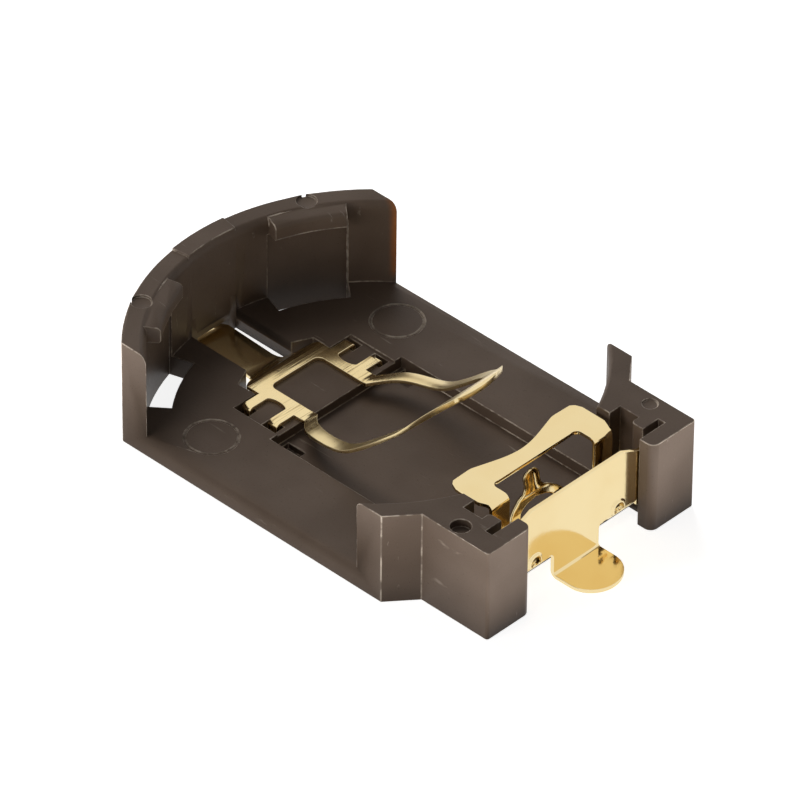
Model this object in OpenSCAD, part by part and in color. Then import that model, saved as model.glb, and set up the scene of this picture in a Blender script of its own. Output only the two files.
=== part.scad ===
// Surface-mount coin cell holder: a moulded housing with two stamped contacts.
// Millimetres. Origin: centre of the coin seat on the board plane. +X to the positive end.

/* [Coin and cradle] */
// Diameter of the coin cell the cradle takes
coin_d = 20; // [16:0.5:24]
// Thickness of the coin cell
coin_h = 3.2; // [2:0.1:4]
// Radial gap between the coin and the back wall
coin_gap = 0.2; // [0.1:0.05:0.6]
// Radial gap between the coin and the front cradle arcs
front_gap = 0.45; // [0.2:0.05:0.8]

/* [Housing] */
// Width over the two flat sides
body_w = 16; // [14:0.5:19]
// Floor thickness
floor_t = 1.1; // [0.9:0.05:1.6]
// Back wall thickness
wall_t = 1.05; // [0.8:0.05:1.6]
// Height of the back wall above the board
wall_h = 5.6; // [5:0.1:7]
// Height of the two front blocks above the board
block_h = 4.85; // [4.6:0.05:6]
// Distance from the coin centre to where the full width ends
shoulder_x = 8.25; // [7.6:0.05:9]
// Length of the shoulder along the body
shoulder_run = 1.15; // [0.6:0.05:1.6]
// Width over the two front blocks
front_w = 13.25; // [12:0.25:15]
// Distance from the coin centre to the front face
front_x = 13.4; // [13:0.1:16]
// Radial height of the lead-in at the top of the cradle
lead_in = 0.27; // [0.1:0.01:0.4]
// Depth of the lead-in at the top of the cradle
lead_in_z = 0.5; // [0.3:0.05:0.8]

/* [Snap lips] */
// Angle from the rear axis to the inner end of each lip
lip_in_deg = 18; // [12:1:24]
// Angle from the rear axis to the outer end of each lip
lip_out_deg = 38.5; // [30:0.5:42]
// Reach of each lip over the coin
lip_reach = 0.65; // [0.3:0.05:1]
// Thickness of each lip at its nose
lip_nose = 0.8; // [0.5:0.05:1.2]
// Clearance of the lip above the coin
lip_clear = 0.35; // [0.1:0.05:0.8]
// Width of the moulding window under each lip
lip_window_w = 1.25; // [0.8:0.05:1.6]

/* [Floor recess and seats] */
// Depth of the recess the spring folds into
recess_depth = 0.6; // [0.3:0.05:0.8]
// Width of the spring recess
recess_w = 8.4; // [7.6:0.1:9.5]
// Thickness of the stamped contact strip
strip_t = 0.2; // [0.15:0.01:0.3]
// How far the anchored plate of the negative contact stands above the floor
plate_proud = 0.08; // [0:0.01:0.15]

/* [Negative contact] */
// Height of the free spring tip above the board
spring_tip_z = 6.6; // [5:0.1:7.5]
// Outer half width of the spring loop
loop_half_w = 3.54; // [3:0.02:3.9]
// Width of each spring arm
arm_w = 0.8; // [0.6:0.05:1.2]
// Width of the tail strip
tail_w = 1.8; // [1.2:0.1:2.4]
// Length of the rear solder tab beyond the wall
rear_tab = 1.9; // [1:0.1:3]

/* [Positive contact] */
// Half width of the upright plate in its slots
plate_half_w = 5.45; // [5:0.05:5.8]
// Height of the top of the upright plate
plate_top_z = 4.6; // [4:0.05:5]
// Height of the underside of the hold-down bar above the board
bar_z = 4.35; // [4.3:0.01:5]
// Length of the front solder tab beyond the plate
front_tab = 2.35; // [1:0.05:3.5]
// Half width of the front solder tab
tab_half_w = 1.45; // [1:0.05:2]
// Clearance of each contact in its slot
slot_gap = 0.06; // [0.02:0.01:0.15]

/* [Hidden] */
$fn = 96;
eps = 0.01;
half_w = body_w / 2;
front_half = front_w / 2;
wall_ri = coin_d / 2 + coin_gap;
wall_ro = wall_ri + wall_t;
cradle_r = coin_d / 2 + front_gap;
shoulder_end = shoulder_x + shoulder_run;
lip_ri = wall_ri - lip_reach;
lip_under = floor_t + coin_h + lip_clear;

// upright plate and its slots, measured back from the front face
lip_wall = 0.85;
slot_x1 = front_x - lip_wall;
slot_w = strip_t + 3 * slot_gap;
slot_x0 = slot_x1 - slot_w;
plate_x1 = slot_x1 - slot_gap;
plate_x0 = plate_x1 - strip_t;
slot_half = plate_half_w + slot_gap;
slot_foot = floor_t - slot_gap;

// block details
tooth_t = 0.72;
pocket_x1 = slot_x0 - tooth_t;
pocket_len = 1.1;
pocket_x0 = pocket_x1 - pocket_len;
rib_y = 4.3;
pocket_y = 5.0;
tooth_y = 4.5;
lip_y = 3.87;
lip_round = 0.4;
edge_round = 0.12;

// anchored plate of the negative contact
seat_top = floor_t + plate_proud;
seat_z = seat_top - strip_t;
recess_z = floor_t - recess_depth;
hole_x0 = -5.0;
step_x = -2.33;
hole_half = 1.55;
neg_x0 = -5.75;
neg_half = 2.3;
prong_x1 = -2.75;
prong_w = 0.56;
prong1_x0 = -4.95;
prong1_w = 0.5;
prong_y = 3.4;
prong_drop = 0.62;
bar_end = -2.0;
window_half = 1.45;
window_x1 = -6.6;
seat_x0 = -5.5;

// tail of the negative contact
tail_low = 0.2;
tail_mid = 0.3;
tail_x1 = -7.0;
tail_x2 = -9.33;
tail_x3 = -10.1;
tail_x4 = -10.75;
neg_end = -(wall_ro + rear_tab);

// positive contact
base_z = floor_t;
leg_x = 10.78;
leg_in = 2.72;
leg_out = 3.85;
bar_x0 = 8.43;
bar_waist = 9.05;
bar_x1 = 9.87;
bend_r = 0.15;
arch_x = 10.45;
finger_half = 0.52;
arch_half = 1.85;
arch_hole = 1.14;
hole_d = 0.62;
hole_y = 2.66;
hole_z = 1.62;

module plan_outline() {
    intersection() {
        circle(r = wall_ro, $fn = 240);
        translate([-wall_ro, -half_w]) square([wall_ro + 1, body_w]);
    }
    front_outline();
}

module front_outline() {
    polygon([[0, -half_w], [shoulder_x, -half_w], [shoulder_end, -front_half],
        [front_x, -front_half], [front_x, front_half], [shoulder_end, front_half],
        [shoulder_x, half_w], [0, half_w]]);
}

// wedge of plan between two angles measured from the rear axis, on the +Y side
module sector(a0, a1, r) {
    n = 6;
    polygon(concat([[0, 0]],
        [for (i = [0:n]) let (a = 180 - (a0 + (a1 - a0) * i / n)) [r * cos(a), r * sin(a)]]));
}

module both_sides() {
    children();
    mirror([0, 1, 0]) children();
}

// rounded lead-in turned inside the cradle, cut away from the wall and blocks
module lead_in_cut(r, top, dr, dz) {
    n = 5;
    rotate_extrude($fn = 240)
    polygon(concat([[r - 1, top - dz], [r, top - dz]],
        [for (i = [1:n]) let (a = 90 * i / n) [r + dr * (1 - cos(a)), top - dz + dz * sin(a)]],
        [[r + dr, top + 1], [r - 1, top + 1]]));
}

// rounding cutter for a vertical outside corner pointing to +X +Y
module corner_cut(x, y, r, h) {
    translate([x - r, y - r, -eps])
    linear_extrude(h + 2 * eps)
    difference() {
        square([r + 1, r + 1]);
        circle(r = r, $fn = 32);
        translate([-1, -1]) square([1, 3]);
        translate([-1, -1]) square([3, 1]);
    }
}

module back_wall() {
    difference() {
        linear_extrude(wall_h)
        intersection() {
            difference() {
                circle(r = wall_ro, $fn = 240);
                circle(r = wall_ri, $fn = 240);
            }
            translate([-wall_ro - 1, -half_w]) square([wall_ro + 1, body_w]);
        }
        lead_in_cut(wall_ri, wall_h, lead_in, lead_in_z);
    }
}

// pad left by the moulding gate on top of the wall
gate_deg = 8.3;
gate_proud = 0.1;
module gate_pad() {
    linear_extrude(wall_h + gate_proud)
    intersection() {
        difference() {
            circle(r = wall_ro, $fn = 240);
            circle(r = wall_ri + 0.1, $fn = 240);
        }
        union() {
            sector(-gate_deg, 0, 2 * wall_ro);
            sector(0, gate_deg, 2 * wall_ro);
        }
    }
}

// section of a snap lip, turned about the coin axis
module snap_lip() {
    root = wall_ri + 0.3;
    nose_top = lip_under + lip_nose;
    rotate([0, 0, 180 - lip_out_deg])
    rotate_extrude(angle = lip_out_deg - lip_in_deg, $fn = 240)
    polygon([[root, lip_under], [lip_ri + 0.08, lip_under], [lip_ri, lip_under + 0.1],
        [lip_ri, nose_top - 0.12], [lip_ri + 0.05, nose_top - 0.03], [lip_ri + 0.16, nose_top + 0.05],
        [wall_ri, wall_h - 0.06], [root, wall_h - 0.06]]);
}

// moulding window through the floor under a snap lip, with its shallow track up the wall
track = 0.14;
core_side = 0.5;
module lip_window() {
    difference() {
        linear_extrude(lip_under)
        intersection() {
            difference() {
                circle(r = wall_ri + track, $fn = 240);
                circle(r = wall_ri - lip_window_w + track, $fn = 240);
            }
            sector(lip_in_deg - core_side, lip_out_deg + core_side, 2 * wall_ro);
        }
        translate([0, 0, floor_t]) cylinder(r = wall_ri - 0.4, h = wall_h);
    }
}

module block_plan() {
    difference() {
        front_outline();
        circle(r = cradle_r, $fn = 240);
        translate([-1, -half_w - 1]) square([6, body_w + 2]);
        translate([6, -rib_y]) square([pocket_x0 - 6 + eps, 2 * rib_y]);
        translate([pocket_x0, -pocket_y]) square([pocket_len, 2 * pocket_y]);
        translate([pocket_x1 - eps, -tooth_y]) square([tooth_t + 2 * eps, 2 * tooth_y]);
        translate([slot_x0, -tooth_y]) square([slot_w, 2 * tooth_y]);
        translate([slot_x1 - eps, -lip_y]) square([lip_wall + 1, 2 * lip_y]);
    }
}

module blocks() {
    difference() {
        linear_extrude(block_h) block_plan();
        lead_in_cut(cradle_r, block_h, 0.2, 0.32);
        translate([slot_x0, -slot_half, slot_foot]) cube([slot_w, 2 * slot_half, block_h]);
        both_sides() corner_cut(front_x, front_half, edge_round, block_h);
        both_sides() translate([0, lip_y, 0]) mirror([0, 1, 0]) corner_cut(front_x, 0, lip_round, block_h);
        both_sides() tooth_round();
    }
}

// rounded inner corner of the tooth behind the slot
tooth_r = 0.22;
module tooth_round() {
    translate([pocket_x1 + tooth_r, tooth_y + tooth_r, floor_t])
    linear_extrude(block_h)
    difference() {
        translate([-2 * tooth_r, -2 * tooth_r]) square([2 * tooth_r, 2 * tooth_r]);
        circle(r = tooth_r, $fn = 32);
    }
}

// shallow round marks left by the ejector pins
module pin_marks() {
    both_sides() {
        rotate([0, 0, 150.8]) translate([10.78, 0, wall_h - 0.12]) cylinder(d = 0.95, h = 1, $fn = 48);
        translate([-4.3, 5.95, floor_t - 0.03])
        difference() {
            cylinder(d = 2.55, h = 1, $fn = 64);
            translate([0, 0, -1]) cylinder(d = 2.35, h = 3, $fn = 64);
        }
    }
    translate([11.17, 6.04, block_h - 0.08]) cylinder(d = 0.72, h = 1, $fn = 48);
    translate([11.17, -6.04, block_h - 0.4]) cylinder(d = 0.95, h = 1, $fn = 48);
}

// recess for the folded spring, seat for the anchored plate and slots for its prongs
prong_room = 0.14;
notch_x0 = -2.1;
notch_x1 = -1.05;
notch_y0 = 3.3;
notch_y1 = recess_w / 2;
module floor_cuts() {
    // spring recess, open to the front edge of the floor
    translate([step_x, -recess_w / 2, recess_z]) cube([pocket_x1 - step_x + 1, recess_w, 1]);
    // seat
    translate([neg_x0 - 0.35, -neg_half - slot_gap, seat_z])
    cube([step_x - neg_x0 + 0.35 + eps, 2 * (neg_half + slot_gap), 1]);
    both_sides() {
        // prong slots, reaching through the seat
        translate([prong1_x0 - prong_room, neg_half - 0.1, seat_z])
        cube([step_x - prong1_x0 + prong_room + eps, prong_y + 0.45 - neg_half, 1]);
        translate([prong1_x0 - prong_room, prong_y - strip_t - prong_room, recess_z - 0.1])
        cube([prong1_w + 2 * prong_room, strip_t + 2 * prong_room + 0.1, 2]);
        translate([prong_x1 - prong_w - prong_room, prong_y - strip_t - prong_room, recess_z - 0.1])
        cube([prong_w + 2 * prong_room, strip_t + 2 * prong_room + 0.1, 2]);
        // deep corner notches of the recess
        translate([notch_x0, notch_y0, recess_z - 0.3])
        cube([notch_x1 - notch_x0, notch_y1 - notch_y0, 2]);
        // tail window, widening under the shoulder of the plate
        translate([0, -eps, -eps])
        linear_extrude(2)
        polygon([[0.05 - wall_ri, 0], [0.05 - wall_ri, window_half], [window_x1, window_half],
            [window_x1 + 0.45, neg_half + 0.1], [seat_x0, neg_half + 0.1], [seat_x0, 0]]);
    }
    // tunnel under the back wall
    translate([-wall_ro - 1, -tail_w / 2 - 2 * slot_gap, -eps]) cube([2.5, tail_w + 4 * slot_gap, 0.78]);
}

module housing() {
    color([0.32, 0.27, 0.24])
    difference() {
        union() {
            difference() {
                union() {
                    linear_extrude(floor_t)
                    difference() {
                        plan_outline();
                        translate([pocket_x1, -tooth_y]) square([front_x, 2 * tooth_y]);
                    }
                    back_wall();
                    gate_pad();
                    blocks();
                }
                both_sides() lip_window();
            }
            both_sides() snap_lip();
        }
        floor_cuts();
        pin_marks();
    }
}

// ---- negative contact ----

// side path of a strip as a list of [x, z] on its top face, thickened downwards
function strip_side(pts, t) =
    concat(pts, [for (i = [len(pts) - 1:-1:0]) let (
        a = pts[max(i - 1, 0)],
        b = pts[min(i + 1, len(pts) - 1)],
        d = norm(b - a))
        pts[i] + t * [(b[1] - a[1]) / d, -(b[0] - a[0]) / d]]);

// bezier helper
function bez(p, t) = pow(1 - t, 3) * p[0] + 3 * t * pow(1 - t, 2) * p[1]
    + 3 * t * t * (1 - t) * p[2] + t * t * t * p[3];
function bez_path(p, n) = [for (i = [0:n]) bez(p, i / n)];

spring_x1 = 6.5;
rise = [[-2.4, seat_top], [-1.9, seat_top], [-1.4, 1.42], [-0.9, 1.56]];
sag = [[-0.9, 1.56], [-0.2, 1.76], [0.9, 1.8], [1.6, 2.25]];
climb = [[1.6, 2.25], [2.4, 2.77], [3.4, 3.75], [4.4, spring_tip_z - 2]];
crown = [[4.4, spring_tip_z - 2], [5.0, spring_tip_z - 1.45], [5.8, spring_tip_z - 0.15],
    [spring_x1, spring_tip_z]];
function drop_last(l) = [for (i = [0:len(l) - 2]) l[i]];

module spring_side() {
    rotate([90, 0, 0])
    translate([0, 0, -half_w])
    linear_extrude(body_w)
    polygon(strip_side(concat(
        [[neg_end, tail_low], [-wall_ro - 0.1, tail_low], [tail_x4, tail_low + 0.06],
        [tail_x3, tail_low + tail_mid], [tail_x2, tail_low + tail_mid - 0.04],
        [tail_x1, tail_low + 0.16], [-6.7, tail_low + 0.22], [-6.35, tail_low + 0.5],
        [-6.05, seat_top - 0.2], [-5.85, seat_top - 0.05], [-5.6, seat_top]],
        drop_last(bez_path(rise, 6)), drop_last(bez_path(sag, 6)), drop_last(bez_path(climb, 8)),
        bez_path(crown, 8)), strip_t));
}

// half outline of the loop in plan, +Y side, outer then inner
arc_x = 3.1;
loop_r = loop_half_w;
module loop_plan() {
    out_side = bez_path([[-2.05, neg_half], [-1.4, 3.2], [-0.6, 3.36], [1.3, loop_half_w - 0.06]], 12);
    in_side = bez_path([[-2.0, hole_half], [-1.2, 2.5], [-0.6, 2.6], [1.3, loop_half_w - arm_w]], 12);
    difference() {
        union() {
            polygon(concat(out_side, [[arc_x, loop_half_w], [arc_x, -loop_half_w]],
                [for (i = [12:-1:0]) [out_side[i][0], -out_side[i][1]]]));
            translate([arc_x, 0]) scale([(spring_x1 - arc_x) / loop_r, 1]) circle(r = loop_r, $fn = 120);
        }
        polygon(concat([[-5.0, hole_half]], in_side,
            [[arc_x, loop_half_w - arm_w], [arc_x, arm_w - loop_half_w]],
            [for (i = [12:-1:0]) [in_side[i][0], -in_side[i][1]]], [[-5.0, -hole_half]]));
        translate([arc_x, 0]) scale([(spring_x1 - arm_w - arc_x) / (loop_r - arm_w), 1])
        circle(r = loop_r - arm_w, $fn = 120);
    }
}

module neg_plate_plan() {
    difference() {
        union() {
            translate([neg_x0, -neg_half]) square([bar_end - neg_x0, 2 * neg_half]);
            // shoulder down to the tail
            polygon([[neg_x0, -neg_half], [neg_x0 - 0.5, -1.6], [tail_x1 + 0.2, -tail_w / 2 - 0.12],
                [tail_x1 - 0.3, -tail_w / 2], [neg_end + 0.6, -tail_w / 2], [neg_end, -tail_w / 2 + 0.5],
                [neg_end, tail_w / 2 - 0.5], [neg_end + 0.6, tail_w / 2], [tail_x1 - 0.3, tail_w / 2],
                [tail_x1 + 0.2, tail_w / 2 + 0.12], [neg_x0 - 0.5, 1.6], [neg_x0, neg_half]]);
        }
        // window in the plate, open to the loop, with rounded back corners
        translate([hole_x0 + 0.35, -hole_half]) square([bar_end - hole_x0, 2 * hole_half]);
        translate([hole_x0, -hole_half + 0.35]) square([1, 2 * hole_half - 0.7]);
        translate([hole_x0 + 0.35, hole_half - 0.35]) circle(r = 0.35, $fn = 32);
        translate([hole_x0 + 0.35, 0.35 - hole_half]) circle(r = 0.35, $fn = 32);
    }
}

module prong(x0, w, reach) {
    translate([x0, neg_half - 0.2, seat_z]) cube([w, prong_y - neg_half + 0.2 - 0.25, strip_t]);
    translate([x0, prong_y - 0.25, seat_top - 0.25])
    rotate([90, 0, 90])
    linear_extrude(w)
    difference() {
        intersection() {
            circle(r = 0.25, $fn = 48);
            square(1);
        }
        circle(r = 0.05, $fn = 24);
    }
    translate([x0, prong_y - strip_t, seat_top - 0.25 - reach]) cube([w, strip_t, reach]);
}

module negative_contact() {
    color([0.83, 0.73, 0.42])
    difference() {
        union() {
            intersection() {
                spring_side();
                translate([0, 0, -1])
                linear_extrude(10) union() {
                    neg_plate_plan();
                    loop_plan();
                }
            }
            both_sides() {
                prong(prong1_x0, prong1_w, prong_drop - 0.25);
                prong(prong_x1 - prong_w, prong_w, prong_drop - 0.25);
            }
        }
        both_sides() {
            // rounded notch between the prongs
            translate([(prong1_x0 + prong1_w + prong_x1 - prong_w) / 2, neg_half + 0.02, -1])
            scale([(prong_x1 - prong_w - prong1_x0 - prong1_w) / 2 / 0.22, 1, 1])
            cylinder(r = 0.22, h = 4, $fn = 48);
        }
    }
}

// ---- positive contact ----

module plate_face() {
    notch = 0.35;
    difference() {
        union() {
            polygon([[-plate_half_w, floor_t], [plate_half_w, floor_t], [plate_half_w, plate_top_z - 0.5],
                [lip_y + 0.1, plate_top_z - 0.5], [2.9, plate_top_z], [-2.9, plate_top_z],
                [-lip_y - 0.1, plate_top_z - 0.5], [-plate_half_w, plate_top_z - 0.5]]);
            translate([-tab_half_w, strip_t + bend_r]) square([2 * tab_half_w, 2]);
        }
        for (s = [-1, 1]) {
            translate([s * hole_y, hole_z]) circle(d = hole_d, $fn = 40);
            translate([s * (tab_half_w + notch), floor_t]) circle(r = notch, $fn = 40);
        }
    }
}

module front_plate() {
    translate([plate_x0, 0, 0])
    rotate([90, 0, 90])
    linear_extrude(strip_t) plate_face();
    // raised rims round the two holes and barbs that bite in the slots
    both_sides() {
        translate([plate_x1 - eps, hole_y, hole_z])
        rotate([0, 90, 0])
        difference() {
            cylinder(d1 = hole_d + 0.34, d2 = hole_d + 0.14, h = 0.1, $fn = 40);
            translate([0, 0, -1]) cylinder(d = hole_d, h = 3, $fn = 40);
        }
    }
}

module tab_plan() {
    r = tab_half_w - 0.1;
    x1 = plate_x1 + front_tab;
    difference() {
        union() {
            translate([plate_x0 + bend_r, -tab_half_w]) square([front_tab - r, 2 * tab_half_w]);
            translate([x1 - r, 0]) scale([1, tab_half_w / r]) circle(r = r, $fn = 64);
        }
        translate([0, -5]) square([plate_x0 + bend_r + strip_t, 10]);
    }
}

module tab_bend() {
    // quarter bend from the plate into the tab
    translate([plate_x0 + bend_r + strip_t, tab_half_w, bend_r + strip_t])
    rotate([90, 0, 0])
    linear_extrude(2 * tab_half_w)
    intersection() {
        difference() {
            circle(r = bend_r + strip_t, $fn = 64);
            circle(r = bend_r, $fn = 64);
        }
        translate([-1, -1]) square([1, 1]);
    }
}

base_in = 1.95;
base_out = leg_out;
module base_strap() {
    // flat strap on the floor between the plate and the legs
    difference() {
        translate([leg_x + bend_r, -base_out, base_z])
        cube([plate_x0 - leg_x - bend_r + eps, 2 * base_out, strip_t]);
        translate([leg_x, -arch_hole, base_z - 1]) cube([5, 2 * arch_hole, 3]);
    }
}

module leg_side() {
    // side path of a leg: strap, bend, upright, bend, hold-down bar
    rotate([90, 0, 0])
    translate([0, 0, -half_w])
    linear_extrude(body_w)
    union() {
        // upright
        translate([leg_x, base_z + strip_t + bend_r])
        square([strip_t, bar_z - bend_r - base_z - strip_t - bend_r]);
        // lower bend
        translate([leg_x + bend_r + strip_t, base_z + strip_t + bend_r])
        intersection() {
            difference() {
                circle(r = bend_r + strip_t, $fn = 64);
                circle(r = bend_r, $fn = 64);
            }
            translate([-1, -1]) square([1, 1]);
        }
        // upper bend
        translate([leg_x - bend_r, bar_z - bend_r])
        intersection() {
            difference() {
                circle(r = bend_r + strip_t, $fn = 64);
                circle(r = bend_r, $fn = 64);
            }
            square([1, 1]);
        }
        // bar
        translate([bar_x0 - 1, bar_z]) square([leg_x - bend_r - bar_x0 + 1, strip_t]);
    }
}

module bar_plan() {
    back = concat(
        [[8.95, 4.05], [8.62, 3.92], [8.46, 3.72]],
        [[8.43, 2.75]],
        bez_path([[8.45, 2.55], [8.72, 1.6], [9.03, 0.9], [bar_waist, 0]], 10));
    difference() {
        polygon(concat(back,
            [for (i = [len(back) - 2:-1:0]) [back[i][0], -back[i][1]]],
            [[10.3, -4.05], [10.75, -leg_out], [leg_x + 1, -leg_out], [leg_x + 1, leg_out],
            [10.75, leg_out], [10.3, 4.05]]));
        translate([bar_x1, -2.35]) square([3, 4.7]);
        translate([bar_x1 + 0.3, -leg_in]) square([3, 2 * leg_in]);
        for (s = [-1, 1]) translate([bar_x1 + 0.28, s * 2.42]) circle(r = 0.3, $fn = 32);
    }
}

module hold_down() {
    intersection() {
        leg_side();
        translate([0, 0, base_z + strip_t + bend_r]) linear_extrude(10) bar_plan();
    }
    // lower bends of the two legs
    intersection() {
        leg_side();
        both_sides() translate([leg_x - 1, leg_in, 0]) cube([3, leg_out - leg_in, base_z + strip_t + bend_r + eps]);
    }
}

// sprung finger that leans on the rim of the coin
arch_side_pts = [[arch_x + 0.7, base_z + strip_t], [arch_x + 0.35, base_z + strip_t],
    [arch_x + 0.12, base_z + strip_t + 0.1], [arch_x, base_z + strip_t + 0.3], [10.26, 2.1],
    [10.06, 2.55], [9.93, 2.95], [9.83, 3.3], [9.72, 3.6], [9.56, 3.78]];
module arch_side() {
    rotate([90, 0, 0])
    translate([0, 0, -half_w])
    linear_extrude(body_w)
    polygon(strip_side([for (i = [len(arch_side_pts) - 1:-1:0]) arch_side_pts[i]], strip_t));
}

module arch_face() {
    // outline of the finger seen along the length: nub, neck and two legs
    edge = bez_path([[0.47, 3.0], [0.48, 2.55], [1.0, 2.72], [1.72, 1.98]], 8);
    difference() {
        union() {
            polygon(concat([[finger_half, 3.45]], edge, [[arch_half, 1.5], [arch_half, 0.5],
                [-arch_half, 0.5], [-arch_half, 1.5]],
                [for (i = [8:-1:0]) [-edge[i][0], edge[i][1]]], [[-finger_half, 3.45]]));
            translate([0, 3.42]) circle(r = finger_half, $fn = 48);
        }
        translate([-arch_hole, 0.5]) square([2 * arch_hole, 1.25]);
        translate([0, 1.75]) scale([1, 0.35]) circle(r = arch_hole, $fn = 48);
    }
}

module finger() {
    intersection() {
        arch_side();
        translate([5, 0, 0]) rotate([90, 0, 90]) linear_extrude(8) arch_face();
    }
}

// inside fillet and rounded outside where the strap turns up into the plate
module strap_bend_fill() {
    both_sides()
    translate([plate_x0 - bend_r, base_out, base_z + strip_t + bend_r])
    rotate([90, 0, 0])
    linear_extrude(base_out - base_in)
    difference() {
        translate([0, -bend_r - eps]) square([bend_r + eps, bend_r + eps]);
        circle(r = bend_r, $fn = 48);
    }
}

module strap_bend_round() {
    both_sides()
    translate([plate_x0 - bend_r, base_out, base_z + strip_t + bend_r])
    rotate([90, 0, 0])
    linear_extrude(base_out - base_in)
    difference() {
        translate([0, -1]) square([1, 1]);
        circle(r = bend_r + strip_t, $fn = 64);
    }
}

module positive_contact() {
    color([0.93, 0.78, 0.45])
    difference() {
        union() {
            front_plate();
            linear_extrude(strip_t) tab_plan();
            tab_bend();
            base_strap();
            strap_bend_fill();
            hold_down();
            finger();
        }
        strap_bend_round();
    }
}

housing();
negative_contact();
positive_contact();
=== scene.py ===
import math

import bmesh
import bpy
from mathutils import Euler, Matrix, Vector


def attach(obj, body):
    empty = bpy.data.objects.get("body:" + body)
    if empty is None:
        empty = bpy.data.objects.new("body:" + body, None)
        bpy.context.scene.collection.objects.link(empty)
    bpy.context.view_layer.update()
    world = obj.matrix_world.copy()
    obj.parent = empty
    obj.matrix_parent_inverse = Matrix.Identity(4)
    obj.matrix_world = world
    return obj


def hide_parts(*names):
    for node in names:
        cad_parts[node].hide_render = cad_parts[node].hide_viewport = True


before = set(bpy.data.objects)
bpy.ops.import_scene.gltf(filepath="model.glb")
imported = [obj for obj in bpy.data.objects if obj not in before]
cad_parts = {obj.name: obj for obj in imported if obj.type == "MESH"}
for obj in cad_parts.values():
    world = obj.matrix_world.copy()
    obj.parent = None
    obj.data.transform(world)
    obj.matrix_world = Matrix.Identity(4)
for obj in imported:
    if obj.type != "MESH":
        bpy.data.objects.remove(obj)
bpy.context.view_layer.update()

# Lengths are written in millimetres and angles in degrees; Blender works in metres.
MM = 0.001


def into_scene(name, data):
    """Makes an object of a mesh, a lamp or a camera and puts it in the scene."""
    made = bpy.data.objects.new(name, data)
    bpy.context.scene.collection.objects.link(made)
    return made


# ---------------------------------------------------------------- camera

CAMERA_AT_MM = (232.80, -240.40, 266.35)
CAMERA_AZIMUTH = 43.879
CAMERA_ELEVATION = 38.279
CAMERA_ROLL = 0.480
LENS_MM = 429.19
SENSOR_MM = 36.0


def make_camera():
    """A long lens that looks down on the positive end, with a slight roll."""
    data = bpy.data.cameras.new("product_camera")
    data.lens = LENS_MM
    data.sensor_width = SENSOR_MM
    data.clip_start = 0.01
    data.clip_end = 10.0
    azimuth = math.radians(CAMERA_AZIMUTH)
    elevation = math.radians(CAMERA_ELEVATION)
    roll = math.radians(CAMERA_ROLL)
    ahead = Vector((-math.sin(azimuth) * math.cos(elevation),
                    math.cos(azimuth) * math.cos(elevation), -math.sin(elevation)))
    level = Vector((math.cos(azimuth), math.sin(azimuth), 0.0))
    upright = level.cross(ahead)
    right = math.cos(roll) * level + math.sin(roll) * upright
    up = math.cos(roll) * upright - math.sin(roll) * level
    camera = into_scene("product_camera", data)
    camera.matrix_world = Matrix((right, up, -ahead)).transposed().to_4x4()
    camera.location = Vector(CAMERA_AT_MM) * MM
    bpy.context.scene.camera = camera


# ---------------------------------------------------------------- shader maths


class Socket:
    """One value inside a node tree; the usual operators add Math nodes."""

    def __init__(self, nodes, link):
        self.nodes = nodes
        self.link = link

    def _math(self, operation, left, right):
        return self.nodes.node("ShaderNodeMath", {"operation": operation}, {0: left, 1: right})

    def __add__(self, other):
        return self._math("ADD", self, other)

    def __radd__(self, other):
        return self._math("ADD", other, self)

    def __sub__(self, other):
        return self._math("SUBTRACT", self, other)

    def __rsub__(self, other):
        return self._math("SUBTRACT", other, self)

    def __mul__(self, other):
        return self._math("MULTIPLY", self, other)

    def __rmul__(self, other):
        return self._math("MULTIPLY", other, self)

    def clamp(self):
        return self.nodes.node("ShaderNodeClamp", {}, {"Value": self})

    def band(self, low, high):
        """0 below low, 1 above high, smooth between."""
        return self.nodes.node("ShaderNodeMapRange", {"interpolation_type": "SMOOTHSTEP"},
                               {"Value": self, "From Min": low, "From Max": high})


class Nodes:
    """The node tree of a material or a world, with one method that makes any node."""

    def __init__(self, owner):
        owner.use_nodes = True
        self.owner = owner
        self.tree = owner.node_tree
        self.tree.nodes.clear()

    def node(self, kind, settings, inputs, output=0):
        made = self.tree.nodes.new(kind)
        for name, value in settings.items():
            setattr(made, name, value)
        for name, value in inputs.items():
            if isinstance(value, Socket):
                self.tree.links.new(value.link, made.inputs[name])
            else:
                made.inputs[name].default_value = value
        return Socket(self, made.outputs[output]) if made.outputs else None

    def ray(self, kind):
        return self.node("ShaderNodeLightPath", {}, {}, "Is %s Ray" % kind)

    def mix_shader(self, factor, low, high):
        return self.node("ShaderNodeMixShader", {}, {0: factor, 1: low, 2: high})


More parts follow.
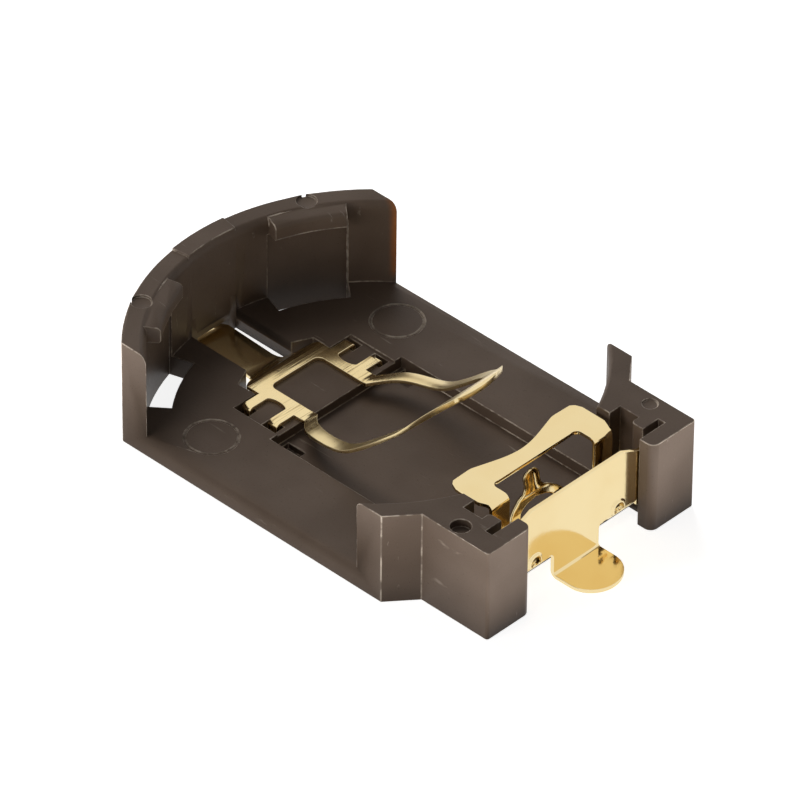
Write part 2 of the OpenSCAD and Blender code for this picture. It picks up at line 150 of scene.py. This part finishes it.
class Shader(Nodes):
    """A material under construction, patterned on Object coordinates."""

    def __init__(self, name):
        super().__init__(bpy.data.materials.new(name))
        self.place = self.node("ShaderNodeTexCoord", {}, {}, "Object")

    def noise(self, size_mm, detail, rough, stretch=(1, 1, 1), seed=0.0):
        moved = self.node("ShaderNodeMapping", {}, {
            "Vector": self.place, "Location": (seed, seed * 0.37, -seed),
            "Scale": tuple(s / (size_mm * MM) for s in stretch)})
        return self.node("ShaderNodeTexNoise", {}, {
            "Vector": moved, "Scale": 1.0, "Detail": detail, "Roughness": rough})

    def mix(self, factor, low, high):
        """Blends two colours, each a node's or a plain red, green and blue."""
        low, high = (c if isinstance(c, Socket) else (*c, 1.0) for c in (low, high))
        return self.node("ShaderNodeMix", {"data_type": "RGBA"}, {0: factor, 6: low, 7: high}, 2)

    def axis(self, name):
        return self.node("ShaderNodeSeparateXYZ", {}, {"Vector": self.place}, name)

    def beyond(self, name, fade_mm):
        """0 on the low side of a fade along an axis, 1 on its high side."""
        return self.axis(name).band(fade_mm[0] * MM, fade_mm[1] * MM)

    def stretch(self, name, fade_in_mm, fade_out_mm):
        """1 on one stretch of an axis, between a soft start and a soft end."""
        return self.beyond(name, fade_in_mm) * (1 - self.beyond(name, fade_out_mm))

    def bump(self, height, depth_mm, strength):
        return self.node("ShaderNodeBump", {}, {
            "Height": height, "Distance": depth_mm * MM, "Strength": strength})

    def finish(self, inputs):
        surface = self.node("ShaderNodeBsdfPrincipled", {}, inputs, "BSDF")
        self.node("ShaderNodeOutputMaterial", {}, {"Surface": surface})
        return self.owner


# ---------------------------------------------------------------- materials

PLASTIC = (0.088, 0.060, 0.042)
PLASTIC_PALE = (0.116, 0.082, 0.060)
PLASTIC_DEEP = (0.048, 0.030, 0.018)
# Pale colour of scuffs and burrs; on the rounded edges it is also a painted edge highlight.
BURR_AND_EDGE_HIGHLIGHT = (0.50, 0.42, 0.34)
GLOW = (0.34, 0.11, 0.025)
GOLD = (0.91, 0.74, 0.41)
GOLD_DEEP = (0.84, 0.62, 0.28)
GOLD_PALE = (0.95, 0.85, 0.58)
GOLD_SHADE = (0.30, 0.19, 0.07)

# The far end of the back wall, where light comes through the plastic: fades in mm.
WALL_END_START, WALL_END_STOP = (-7.2, -6.3), (-5.5, -5.0)
WALL_END_SKIN = (7.70, 7.98)
WALL_END_FOOT = (1.2, 1.9)

# The pressed bends of the spring and the start of its duller arms: fades in mm.
REAR_BEND_START, REAR_BEND_STOP = (-6.5, -6.1), (-5.3, -5.0)
ARM_BEND_START, ARM_BEND_STOP = (-4.0, -3.2), (-1.3, -0.6)
DULL_ARMS = (-2.6, -1.0)


def moulded_plastic(name, worn_and_highlit=False):
    """Matte glass-filled plastic: fine grain, faint flow clouds, hairline scuffs, and on request
    pale rounded edges that are partly burrs and wear and partly painted edge highlight.
    """
    s = Shader(name)
    clouds = s.noise(4.2, detail=2.0, rough=0.5, seed=3.1)
    grain = s.noise(0.16, detail=3.0, rough=0.7, seed=1.7)
    flecks = s.noise(0.075, detail=1.0, rough=0.5, seed=8.3)
    scuffs = s.noise(1.1, detail=4.0, rough=0.62, stretch=(0.35, 3.2, 1.0), seed=5.9)
    colour = s.mix(clouds.band(0.35, 0.68), PLASTIC, PLASTIC_PALE)
    colour = s.mix(grain.band(0.58, 0.8) * 0.35, colour, PLASTIC_PALE)
    colour = s.mix(flecks.band(0.66, 0.78) * 0.5, colour, PLASTIC_DEEP)
    colour = s.mix(scuffs.band(0.66, 0.76) * 0.28, colour, BURR_AND_EDGE_HIGHLIGHT)
    if worn_and_highlit:
        # The rounded edges are painted pale in patches: partly burrs and wear, partly painted
        # edge highlight.
        patches = s.noise(0.9, detail=3.0, rough=0.7, seed=2.2)
        colour = s.mix(patches.band(0.40, 0.62) * 0.75 + 0.12, colour, BURR_AND_EDGE_HIGHLIGHT)
    wall_end = s.stretch("X", WALL_END_START, WALL_END_STOP)
    lit_through = s.beyond("Y", WALL_END_SKIN) * wall_end * s.beyond("Z", WALL_END_FOOT)
    colour = s.mix(lit_through * (0.35 + grain * 0.9).clamp(), colour, GLOW)
    height = grain * 0.6 + flecks * 0.4 + scuffs.band(0.60, 0.74) * 0.5
    return s.finish({
        "Base Color": colour,
        "Roughness": 0.40 + grain * 0.16,
        "Specular IOR Level": 0.24,
        "Normal": s.bump(height, depth_mm=0.012, strength=0.55)})


def gold_plate(name, dullness, wave, edge=False, spring=False):
    """Thin gold plate on rolled strip: soft waves, dull spots, on its rounded edges a paler tone
    that is partly sheared metal and partly painted highlight, and, on a spring, bend lines
    darkened with painted shade.
    """
    s = Shader(name)
    waves = s.noise(2.6, detail=2.0, rough=0.5, seed=4.4)
    rolled = s.noise(0.5, detail=2.0, rough=0.6, stretch=(0.12, 2.6, 1.0), seed=6.1)
    specks = s.noise(0.12, detail=2.0, rough=0.6, seed=9.2)
    colour = s.mix(waves.band(0.3, 0.7) * 0.35, GOLD, GOLD_DEEP)
    colour = s.mix(specks.band(0.64, 0.78) * 0.25, colour, GOLD_PALE)
    height = waves * wave + rolled * 0.05 + specks * 0.03
    roughness = specks * 0.08 + dullness
    if edge:
        # Rounded edges: rougher sheared metal, with a paler tone that is a painted edge
        # highlight.
        colour = s.mix(0.35, colour, GOLD_PALE)
    elif spring:
        ruled = s.noise(0.16, detail=2.0, rough=0.55, stretch=(1.0, 0.035, 0.2), seed=7.7)
        rear_bend = s.stretch("X", REAR_BEND_START, REAR_BEND_STOP)
        arm_bend = s.stretch("X", ARM_BEND_START, ARM_BEND_STOP)
        creased = (rear_bend + arm_bend * 0.9).clamp()
        # Dark ruled lines along the pressed bends are painted shade; the same lines also give
        # real bumps below.
        colour = s.mix(ruled.band(0.50, 0.62) * creased * 0.62, colour, GOLD_SHADE)
        height = height + ruled * creased * 0.5
    if spring:
        roughness = roughness + s.beyond("X", DULL_ARMS) * 0.16
    return s.finish({
        "Base Color": colour,
        "Metallic": 1.0,
        "Roughness": roughness,
        "Normal": s.bump(height, depth_mm=0.05, strength=0.5)})


# ---------------------------------------------------------------- mesh tools

WELD_MM = 0.0004
FLAT_DEG = 0.6
CUT_WELD_MM = 0.002
CUT_SLIVER_MM = 0.001
HARD_EDGE_DEG = 35
CROWDED_DEG = 24
BEVEL_STEPS = 2
TAIL_LIP_X, TAIL_LIP_HALF, TAIL_LIP_TOP = -9.9, 1.7, 2.3


def edit_mesh(mesh, change):
    """Runs one change on a mesh that is held open for editing."""
    shape = bmesh.new()
    shape.from_mesh(mesh)
    change(shape)
    shape.to_mesh(mesh)
    shape.free()


def bake_modifiers(piece):
    """Turns a piece and its modifiers into one plain mesh."""
    done = bpy.data.meshes.new_from_object(
        piece.evaluated_get(bpy.context.evaluated_depsgraph_get()))
    piece.modifiers.clear()
    piece.data = done


def between(stops, value):
    """Straight-line reading of a table of (value, result) pairs, in rising order."""
    if value <= stops[0][0]:
        return stops[0][1]
    for (low, first), (high, last) in zip(stops, stops[1:]):
        if value <= high:
            return first + (last - first) * (value - low) / (high - low)
    return stops[-1][1]


def prism(name, outline, along, low_mm, high_mm):
    """A closed prism of an outline, drawn along Z or along X, as a cutting tool."""
    count = len(outline)
    points = []
    for level in (low_mm, high_mm):
        for a, b in outline:
            point = (a, b, level) if along == "Z" else (level, a, b)
            points.append(Vector(point) * MM)
    faces = [list(range(count))[::-1], [count + i for i in range(count)]]
    faces += [[i, (i + 1) % count, count + (i + 1) % count, count + i] for i in range(count)]
    mesh = bpy.data.meshes.new(name)
    mesh.from_pydata(points, [], faces)
    edit_mesh(mesh, lambda shape: bmesh.ops.recalc_face_normals(shape, faces=shape.faces))
    return into_scene(name, mesh)


def cut_away(piece, tools):
    """Takes the shapes of the tools out of a piece."""
    for tool in tools:
        cut = piece.modifiers.new("cut", "BOOLEAN")
        cut.operation = "DIFFERENCE"
        cut.object = tool
        cut.solver = "EXACT"
    bake_modifiers(piece)
    for tool in tools:
        bpy.data.objects.remove(tool)


def beside_tail_window(point):
    """True at the thin lip where the tail window meets the foot of the back wall."""
    x, y, z = point / MM
    return x < TAIL_LIP_X and abs(y) < TAIL_LIP_HALF and z < TAIL_LIP_TOP


def mark_hard_edges(shape):
    """Clears the cuts' slivers, then weights the hard edges that have room to be rounded."""
    bmesh.ops.remove_doubles(shape, verts=shape.verts, dist=CUT_WELD_MM * MM)
    bmesh.ops.dissolve_degenerate(shape, dist=CUT_SLIVER_MM * MM, edges=shape.edges)
    weight = shape.edges.layers.float.new("bevel_weight_edge")
    hard = {edge for edge in shape.edges if len(edge.link_faces) == 2
            and edge.calc_face_angle(0.0) > math.radians(HARD_EDGE_DEG)}
    crowded = set()
    for face in shape.faces:
        for loop in face.loops:
            if loop.calc_angle() < math.radians(CROWDED_DEG):
                crowded.update((loop.link_loop_prev.edge, loop.edge))
    for edge in hard - crowded:
        if not any(beside_tail_window(vert.co) for vert in edge.verts):
            edge[weight] = 1.0


def break_edges(piece, edge_mm):
    """Rounds the marked edges a little, in the second material, and keeps the faces flat."""
    edit_mesh(piece.data, mark_hard_edges)
    bevel = piece.modifiers.new("broken_edges", "BEVEL")
    bevel.width = edge_mm * MM
    bevel.segments = BEVEL_STEPS
    bevel.limit_method = "WEIGHT"
    bevel.use_clamp_overlap = False
    bevel.material = 1
    flat = piece.modifiers.new("flat_faces", "WEIGHTED_NORMAL")
    flat.mode = "FACE_AREA"
    flat.weight = 50
    flat.keep_sharp = True
    bake_modifiers(piece)


def join_in(piece, extra):
    """Adds another object's faces to a piece and removes that object."""
    bake_modifiers(extra)
    edit_mesh(piece.data, lambda shape: shape.from_mesh(extra.data))
    bpy.data.objects.remove(extra)


def welded_copy(node, name, reshape=None):
    """One plain piece made of a CAD node's loose triangles."""
    mesh = bpy.data.meshes.new(name)
    shape = bmesh.new()
    shape.from_mesh(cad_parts[node].data)
    bmesh.ops.remove_doubles(shape, verts=shape.verts, dist=WELD_MM * MM)
    bmesh.ops.dissolve_limit(shape, angle_limit=math.radians(FLAT_DEG), verts=shape.verts,
                             edges=shape.edges, use_dissolve_boundaries=False)
    if reshape:
        reshape(shape)
    shape.to_mesh(mesh)
    shape.free()
    return into_scene(name, mesh)


def finished_copy(node, name, finishes, edge_mm, tools=(), reshape=None, extra=None):
    """A copy of a CAD node, cut, with broken edges and its finishes, which stands for it."""
    piece = welded_copy(node, name, reshape)
    for finish in finishes:
        piece.data.materials.append(finish)
    for polygon in piece.data.polygons:
        polygon.material_index = 0
        polygon.use_smooth = True
    cut_away(piece, tools)
    break_edges(piece, edge_mm)
    if extra:
        join_in(piece, extra)
    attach(piece, "root")
    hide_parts(node)


# ---------------------------------------------------------------- housing

FRONT_X = 13.4
FRONT_HALF = 6.625
CORNER_ROUND = 0.15
CORNER_STEPS = 6
TOOL_ROOM = 1.0
TOOL_Z = (-1.0, 7.0)
HOUSING_EDGE = 0.04


def corner_tools():
    """Cutters that carry the rounding of the two front corners down through the floor."""
    x, y = FRONT_X - CORNER_ROUND, FRONT_HALF - CORNER_ROUND
    turns = [math.radians(90 * i / CORNER_STEPS) for i in range(CORNER_STEPS + 1)]
    outline = [(x + CORNER_ROUND * math.cos(turn), y + CORNER_ROUND * math.sin(turn))
               for turn in turns]
    far_x, far_y = FRONT_X + TOOL_ROOM, FRONT_HALF + TOOL_ROOM
    outline += [(x, far_y), (far_x, far_y), (far_x, y)]
    return [prism("corner_tool", [(a, side * b) for a, b in outline], "Z", *TOOL_Z)
            for side in (1, -1)]


def make_housing():
    # The second finish goes on the rounded edges and paints them pale, partly as burrs and
    # partly as painted edge highlight.
    finishes = (moulded_plastic("housing_moulded_plastic"),
                moulded_plastic("housing_worn_highlit_edges", worn_and_highlit=True))
    finished_copy("housing", "housing_moulding", finishes, HOUSING_EDGE, corner_tools())


# ---------------------------------------------------------------- contacts

CONTACT_EDGE = 0.018
STRIP = 0.2

# The spring loop: two arms from the plate and a round end, in plan.
ARM_ROOT_X = -1.0
ARM_MIDDLE = [(-1.0, 2.75), (0.0, 3.0), (1.3, 3.12)]
ROUND_END_X = 3.1
ROUND_END_LONG, ROUND_END_HALF = 3.0, 3.14
SLIM_INSIDE, SLIM_UNDER = 0.05, 0.04
TIP_X, TIP_RUN, TIP_DEPTH = 4.6, 1.2, 0.13
DOWNWARD = -0.4

# The finger: x and half width up its height, its round nub, and the arch between its legs.
FINGER_LEAN = [(1.35, 10.42), (1.6, 10.32), (2.05, 10.08), (2.5, 9.92), (2.95, 9.82),
               (3.35, 9.74), (3.8, 9.66)]
FINGER_HALF = [(1.3, 1.85), (1.6, 1.84), (1.98, 1.69), (2.15, 1.53), (2.30, 1.36), (2.43, 1.15),
               (2.53, 0.98), (2.60, 0.80), (2.72, 0.62), (2.9, 0.50), (3.1, 0.46), (3.3, 0.48)]
FINGER_FOOT_Z, FINGER_ROW, FINGER_ROWS = 1.35, 0.05, 39
FINGER_COLUMNS = 7
NUB_ROWS = [3.32, 3.40, 3.50, 3.58, 3.65, 3.70, 3.74, 3.765, 3.775]
NUB_FOOT_Z, NUB_Z, NUB_R, NUB_CROWN = 2.6, 3.3, 0.48, 0.07
ARCH_Z, ARCH_HALF, ARCH_RISE = 1.75, 1.14, 0.58
FINGER_WELD = 0.004

# The room cleared for the finger, above its stub on the strap.
CLEARED_X, CLEARED_Z, CLEARED_HALF = (9.0, 10.72), (1.42, 4.2), 2.1


def thin_spring(shape):
    """Draws the loop in to narrow, thin arms and gives its tip a blunt front."""
    for vert in shape.verts:
        x, y = vert.co.x / MM, vert.co.y / MM
        if x < ARM_ROOT_X:
            continue
        if x < ROUND_END_X:
            outside = abs(y) > between(ARM_MIDDLE, x)
            away = Vector((0.0, math.copysign(1.0, y)))
        else:
            along = x - ROUND_END_X
            outside = math.hypot(along / ROUND_END_LONG, y / ROUND_END_HALF) > 1.0
            away = Vector((along, y)).normalized()
        blend = min(x - ARM_ROOT_X, 1.0)
        if not outside:
            vert.co.x += away.x * SLIM_INSIDE * blend * MM
            vert.co.y += away.y * SLIM_INSIDE * blend * MM
        if any(face.normal.z < DOWNWARD for face in vert.link_faces):
            tip = max(0.0, min((x - TIP_X) / TIP_RUN, 1.0))
            vert.co.z += (SLIM_UNDER * blend - TIP_DEPTH * tip) * MM


def finger_tool():
    """Cutter that takes the plain finger off, down to its stub on the strap."""
    low, high = CLEARED_Z
    outline = [(-CLEARED_HALF, low), (CLEARED_HALF, low), (CLEARED_HALF, high),
               (-CLEARED_HALF, high)]
    return prism("finger_tool", outline, "X", *CLEARED_X)


def finger_row(shape, z, side):
    """Points across one leg of the finger at one height, from the arch to the outer edge."""
    half = between(FINGER_HALF, z)
    if z > NUB_Z:
        half = math.sqrt(NUB_R ** 2 - (z - NUB_Z) ** 2)
    rise = max((z - ARCH_Z) / ARCH_RISE, 0.0)
    arch = ARCH_HALF * math.sqrt(max(1.0 - rise ** 2, 0.0))
    row = []
    for i in range(FINGER_COLUMNS + 1):
        y = arch + (half - arch) * i / FINGER_COLUMNS
        crown = NUB_CROWN * (1 - (y / half) ** 2) if z > NUB_FOOT_Z else 0.0
        row.append(shape.verts.new(Vector((between(FINGER_LEAN, z) + crown, side * y, z)) * MM))
    return row


def clip_finger():
    """The sprung finger: a rounded nub on a neck that widens into two legs round an arch."""
    heights = [round(FINGER_FOOT_Z + FINGER_ROW * i, 4) for i in range(FINGER_ROWS)] + NUB_ROWS
    shape = bmesh.new()
    for side in (1, -1):
        rows = [finger_row(shape, z, side) for z in heights]
        for low, high in zip(rows, rows[1:]):
            for i in range(FINGER_COLUMNS):
                corners = (low[i], low[i + 1], high[i + 1], high[i])
                shape.faces.new(corners if side > 0 else corners[::-1])
    bmesh.ops.remove_doubles(shape, verts=shape.verts, dist=FINGER_WELD * MM)
    mesh = bpy.data.meshes.new("clip_finger")
    shape.to_mesh(mesh)
    shape.free()
    for polygon in mesh.polygons:
        polygon.use_smooth = True
    finger = into_scene("clip_finger", mesh)
    wall = finger.modifiers.new("strip", "SOLIDIFY")
    wall.thickness = STRIP * MM
    wall.offset = -1.0
    wall.use_even_offset = True
    return finger


def make_spring_contact():
    # The second finish, on the rounded edges, carries a painted edge highlight.
    finishes = (gold_plate("spring_gold_plate", 0.09, wave=0.35, spring=True),
                gold_plate("spring_sheared_highlit_edges", 0.26, wave=0.5, edge=True, spring=True))
    finished_copy("negative_contact", "negative_spring_contact", finishes, CONTACT_EDGE,
                  reshape=thin_spring)


def make_clip_contact():
    # The second finish, on the rounded edges, carries a painted edge highlight.
    finishes = (gold_plate("clip_gold_plate", 0.06, wave=0.04),
                gold_plate("clip_sheared_highlit_edges", 0.22, wave=0.04, edge=True))
    finished_copy("positive_contact", "positive_clip_contact", finishes, CONTACT_EDGE,
                  [finger_tool()], extra=clip_finger())


# ---------------------------------------------------------------- stage and light

WHITE = (1.0, 1.0, 1.0, 1.0)
FLOOR_GREY = (0.8, 0.8, 0.8, 1.0)
FLOOR_GLOW = 0.86
FLOOR_Z = -0.01
FLOOR_HALF = 1500.0
AMBIENT = 0.06
OVERHEAD = 0.92
BOUNCE_NEAR, BOUNCE_REACH, BOUNCE_Z = 16.0, 34.0, 0.05
LIT_POINT = (0, 0, 2)


def backdrop_material():
    """White to the camera and in reflections, with the object's faint contact shadow."""
    s = Shader("white_backdrop")
    matte = s.node("ShaderNodeBsdfDiffuse", {}, {"Color": FLOOR_GREY})
    white = s.node("ShaderNodeEmission", {}, {"Color": WHITE, "Strength": 1.0})
    base = s.node("ShaderNodeEmission", {}, {"Color": WHITE, "Strength": FLOOR_GLOW})
    shaded = s.node("ShaderNodeAddShader", {}, {0: matte, 1: base})
    seen = s.mix_shader(s.ray("Camera"), matte, shaded)
    mirrored = (s.ray("Glossy") + s.ray("Transmission")).clamp()
    s.node("ShaderNodeOutputMaterial", {}, {"Surface": s.mix_shader(mirrored, seen, white)})
    return s.owner


def make_floor():
    corners = [(-1, -1), (1, -1), (1, 1), (-1, 1)]
    mesh = bpy.data.meshes.new("floor")
    mesh.from_pydata([Vector((x * FLOOR_HALF, y * FLOOR_HALF, FLOOR_Z)) * MM
                      for x, y in corners], [], [(0, 1, 2, 3)])
    mesh.materials.append(backdrop_material())
    into_scene("floor", mesh)


def make_world():
    """Dim to matte faces, bright in reflections and white to the camera."""
    world = bpy.data.worlds.new("studio")
    bpy.context.scene.world = world
    nodes = Nodes(world)
    ambient, overhead, seen = (
        nodes.node("ShaderNodeBackground", {}, {"Color": WHITE, "Strength": strength})
        for strength in (AMBIENT, OVERHEAD, 1.0))
    lighting = nodes.mix_shader(nodes.ray("Glossy"), ambient, overhead)
    surface = nodes.mix_shader(nodes.ray("Camera"), lighting, seen)
    nodes.node("ShaderNodeOutputWorld", {}, {"Surface": surface})


def soft_lamp(name, at_mm, size_mm, brightness, turn):
    """A rectangular lamp of a given surface brightness, left out of reflections."""
    data = bpy.data.lights.new(name, "AREA")
    data.shape = "RECTANGLE"
    data.size, data.size_y = size_mm[0] * MM, size_mm[1] * MM
    data.energy = math.pi * data.size * data.size_y * brightness
    lamp = into_scene(name, data)
    lamp.location = Vector(at_mm) * MM
    lamp.rotation_mode = "QUATERNION"
    lamp.rotation_quaternion = turn
    lamp.visible_camera = False
    lamp.visible_glossy = False


def softbox(name, at_mm, size_mm, brightness):
    """A lamp that faces the part, just above the floor of its housing."""
    turn = (Vector(LIT_POINT) - Vector(at_mm)).to_track_quat("-Z", "Y")
    soft_lamp(name, at_mm, size_mm, brightness, turn)


def bounce_lamps(brightness):
    """Light thrown up by the white floor on all four sides of the part."""
    facing_up = Euler((math.pi, 0.0, 0.0)).to_quaternion()
    middle = BOUNCE_NEAR + BOUNCE_REACH / 2
    for name, x, y in (("front", 1, 0), ("rear", -1, 0), ("right", 0, 1), ("left", 0, -1)):
        size = (BOUNCE_REACH, 2 * BOUNCE_REACH) if x else (2 * BOUNCE_REACH, BOUNCE_REACH)
        soft_lamp(name + "_floor_bounce", (middle * x, middle * y, BOUNCE_Z), size, brightness,
                  facing_up)


# ---------------------------------------------------------------- scene

make_camera()
make_housing()
make_spring_contact()
make_clip_contact()
make_floor()
make_world()
bounce_lamps(brightness=3.9)
softbox("side_softbox", at_mm=(-40, -240, 60), size_mm=(160, 120), brightness=4.8)
softbox("top_softbox", at_mm=(-190, 70, 190), size_mm=(180, 180), brightness=4.4)

bpy.context.scene.view_settings.view_transform = "Standard"

bpy.context.view_layer.update()
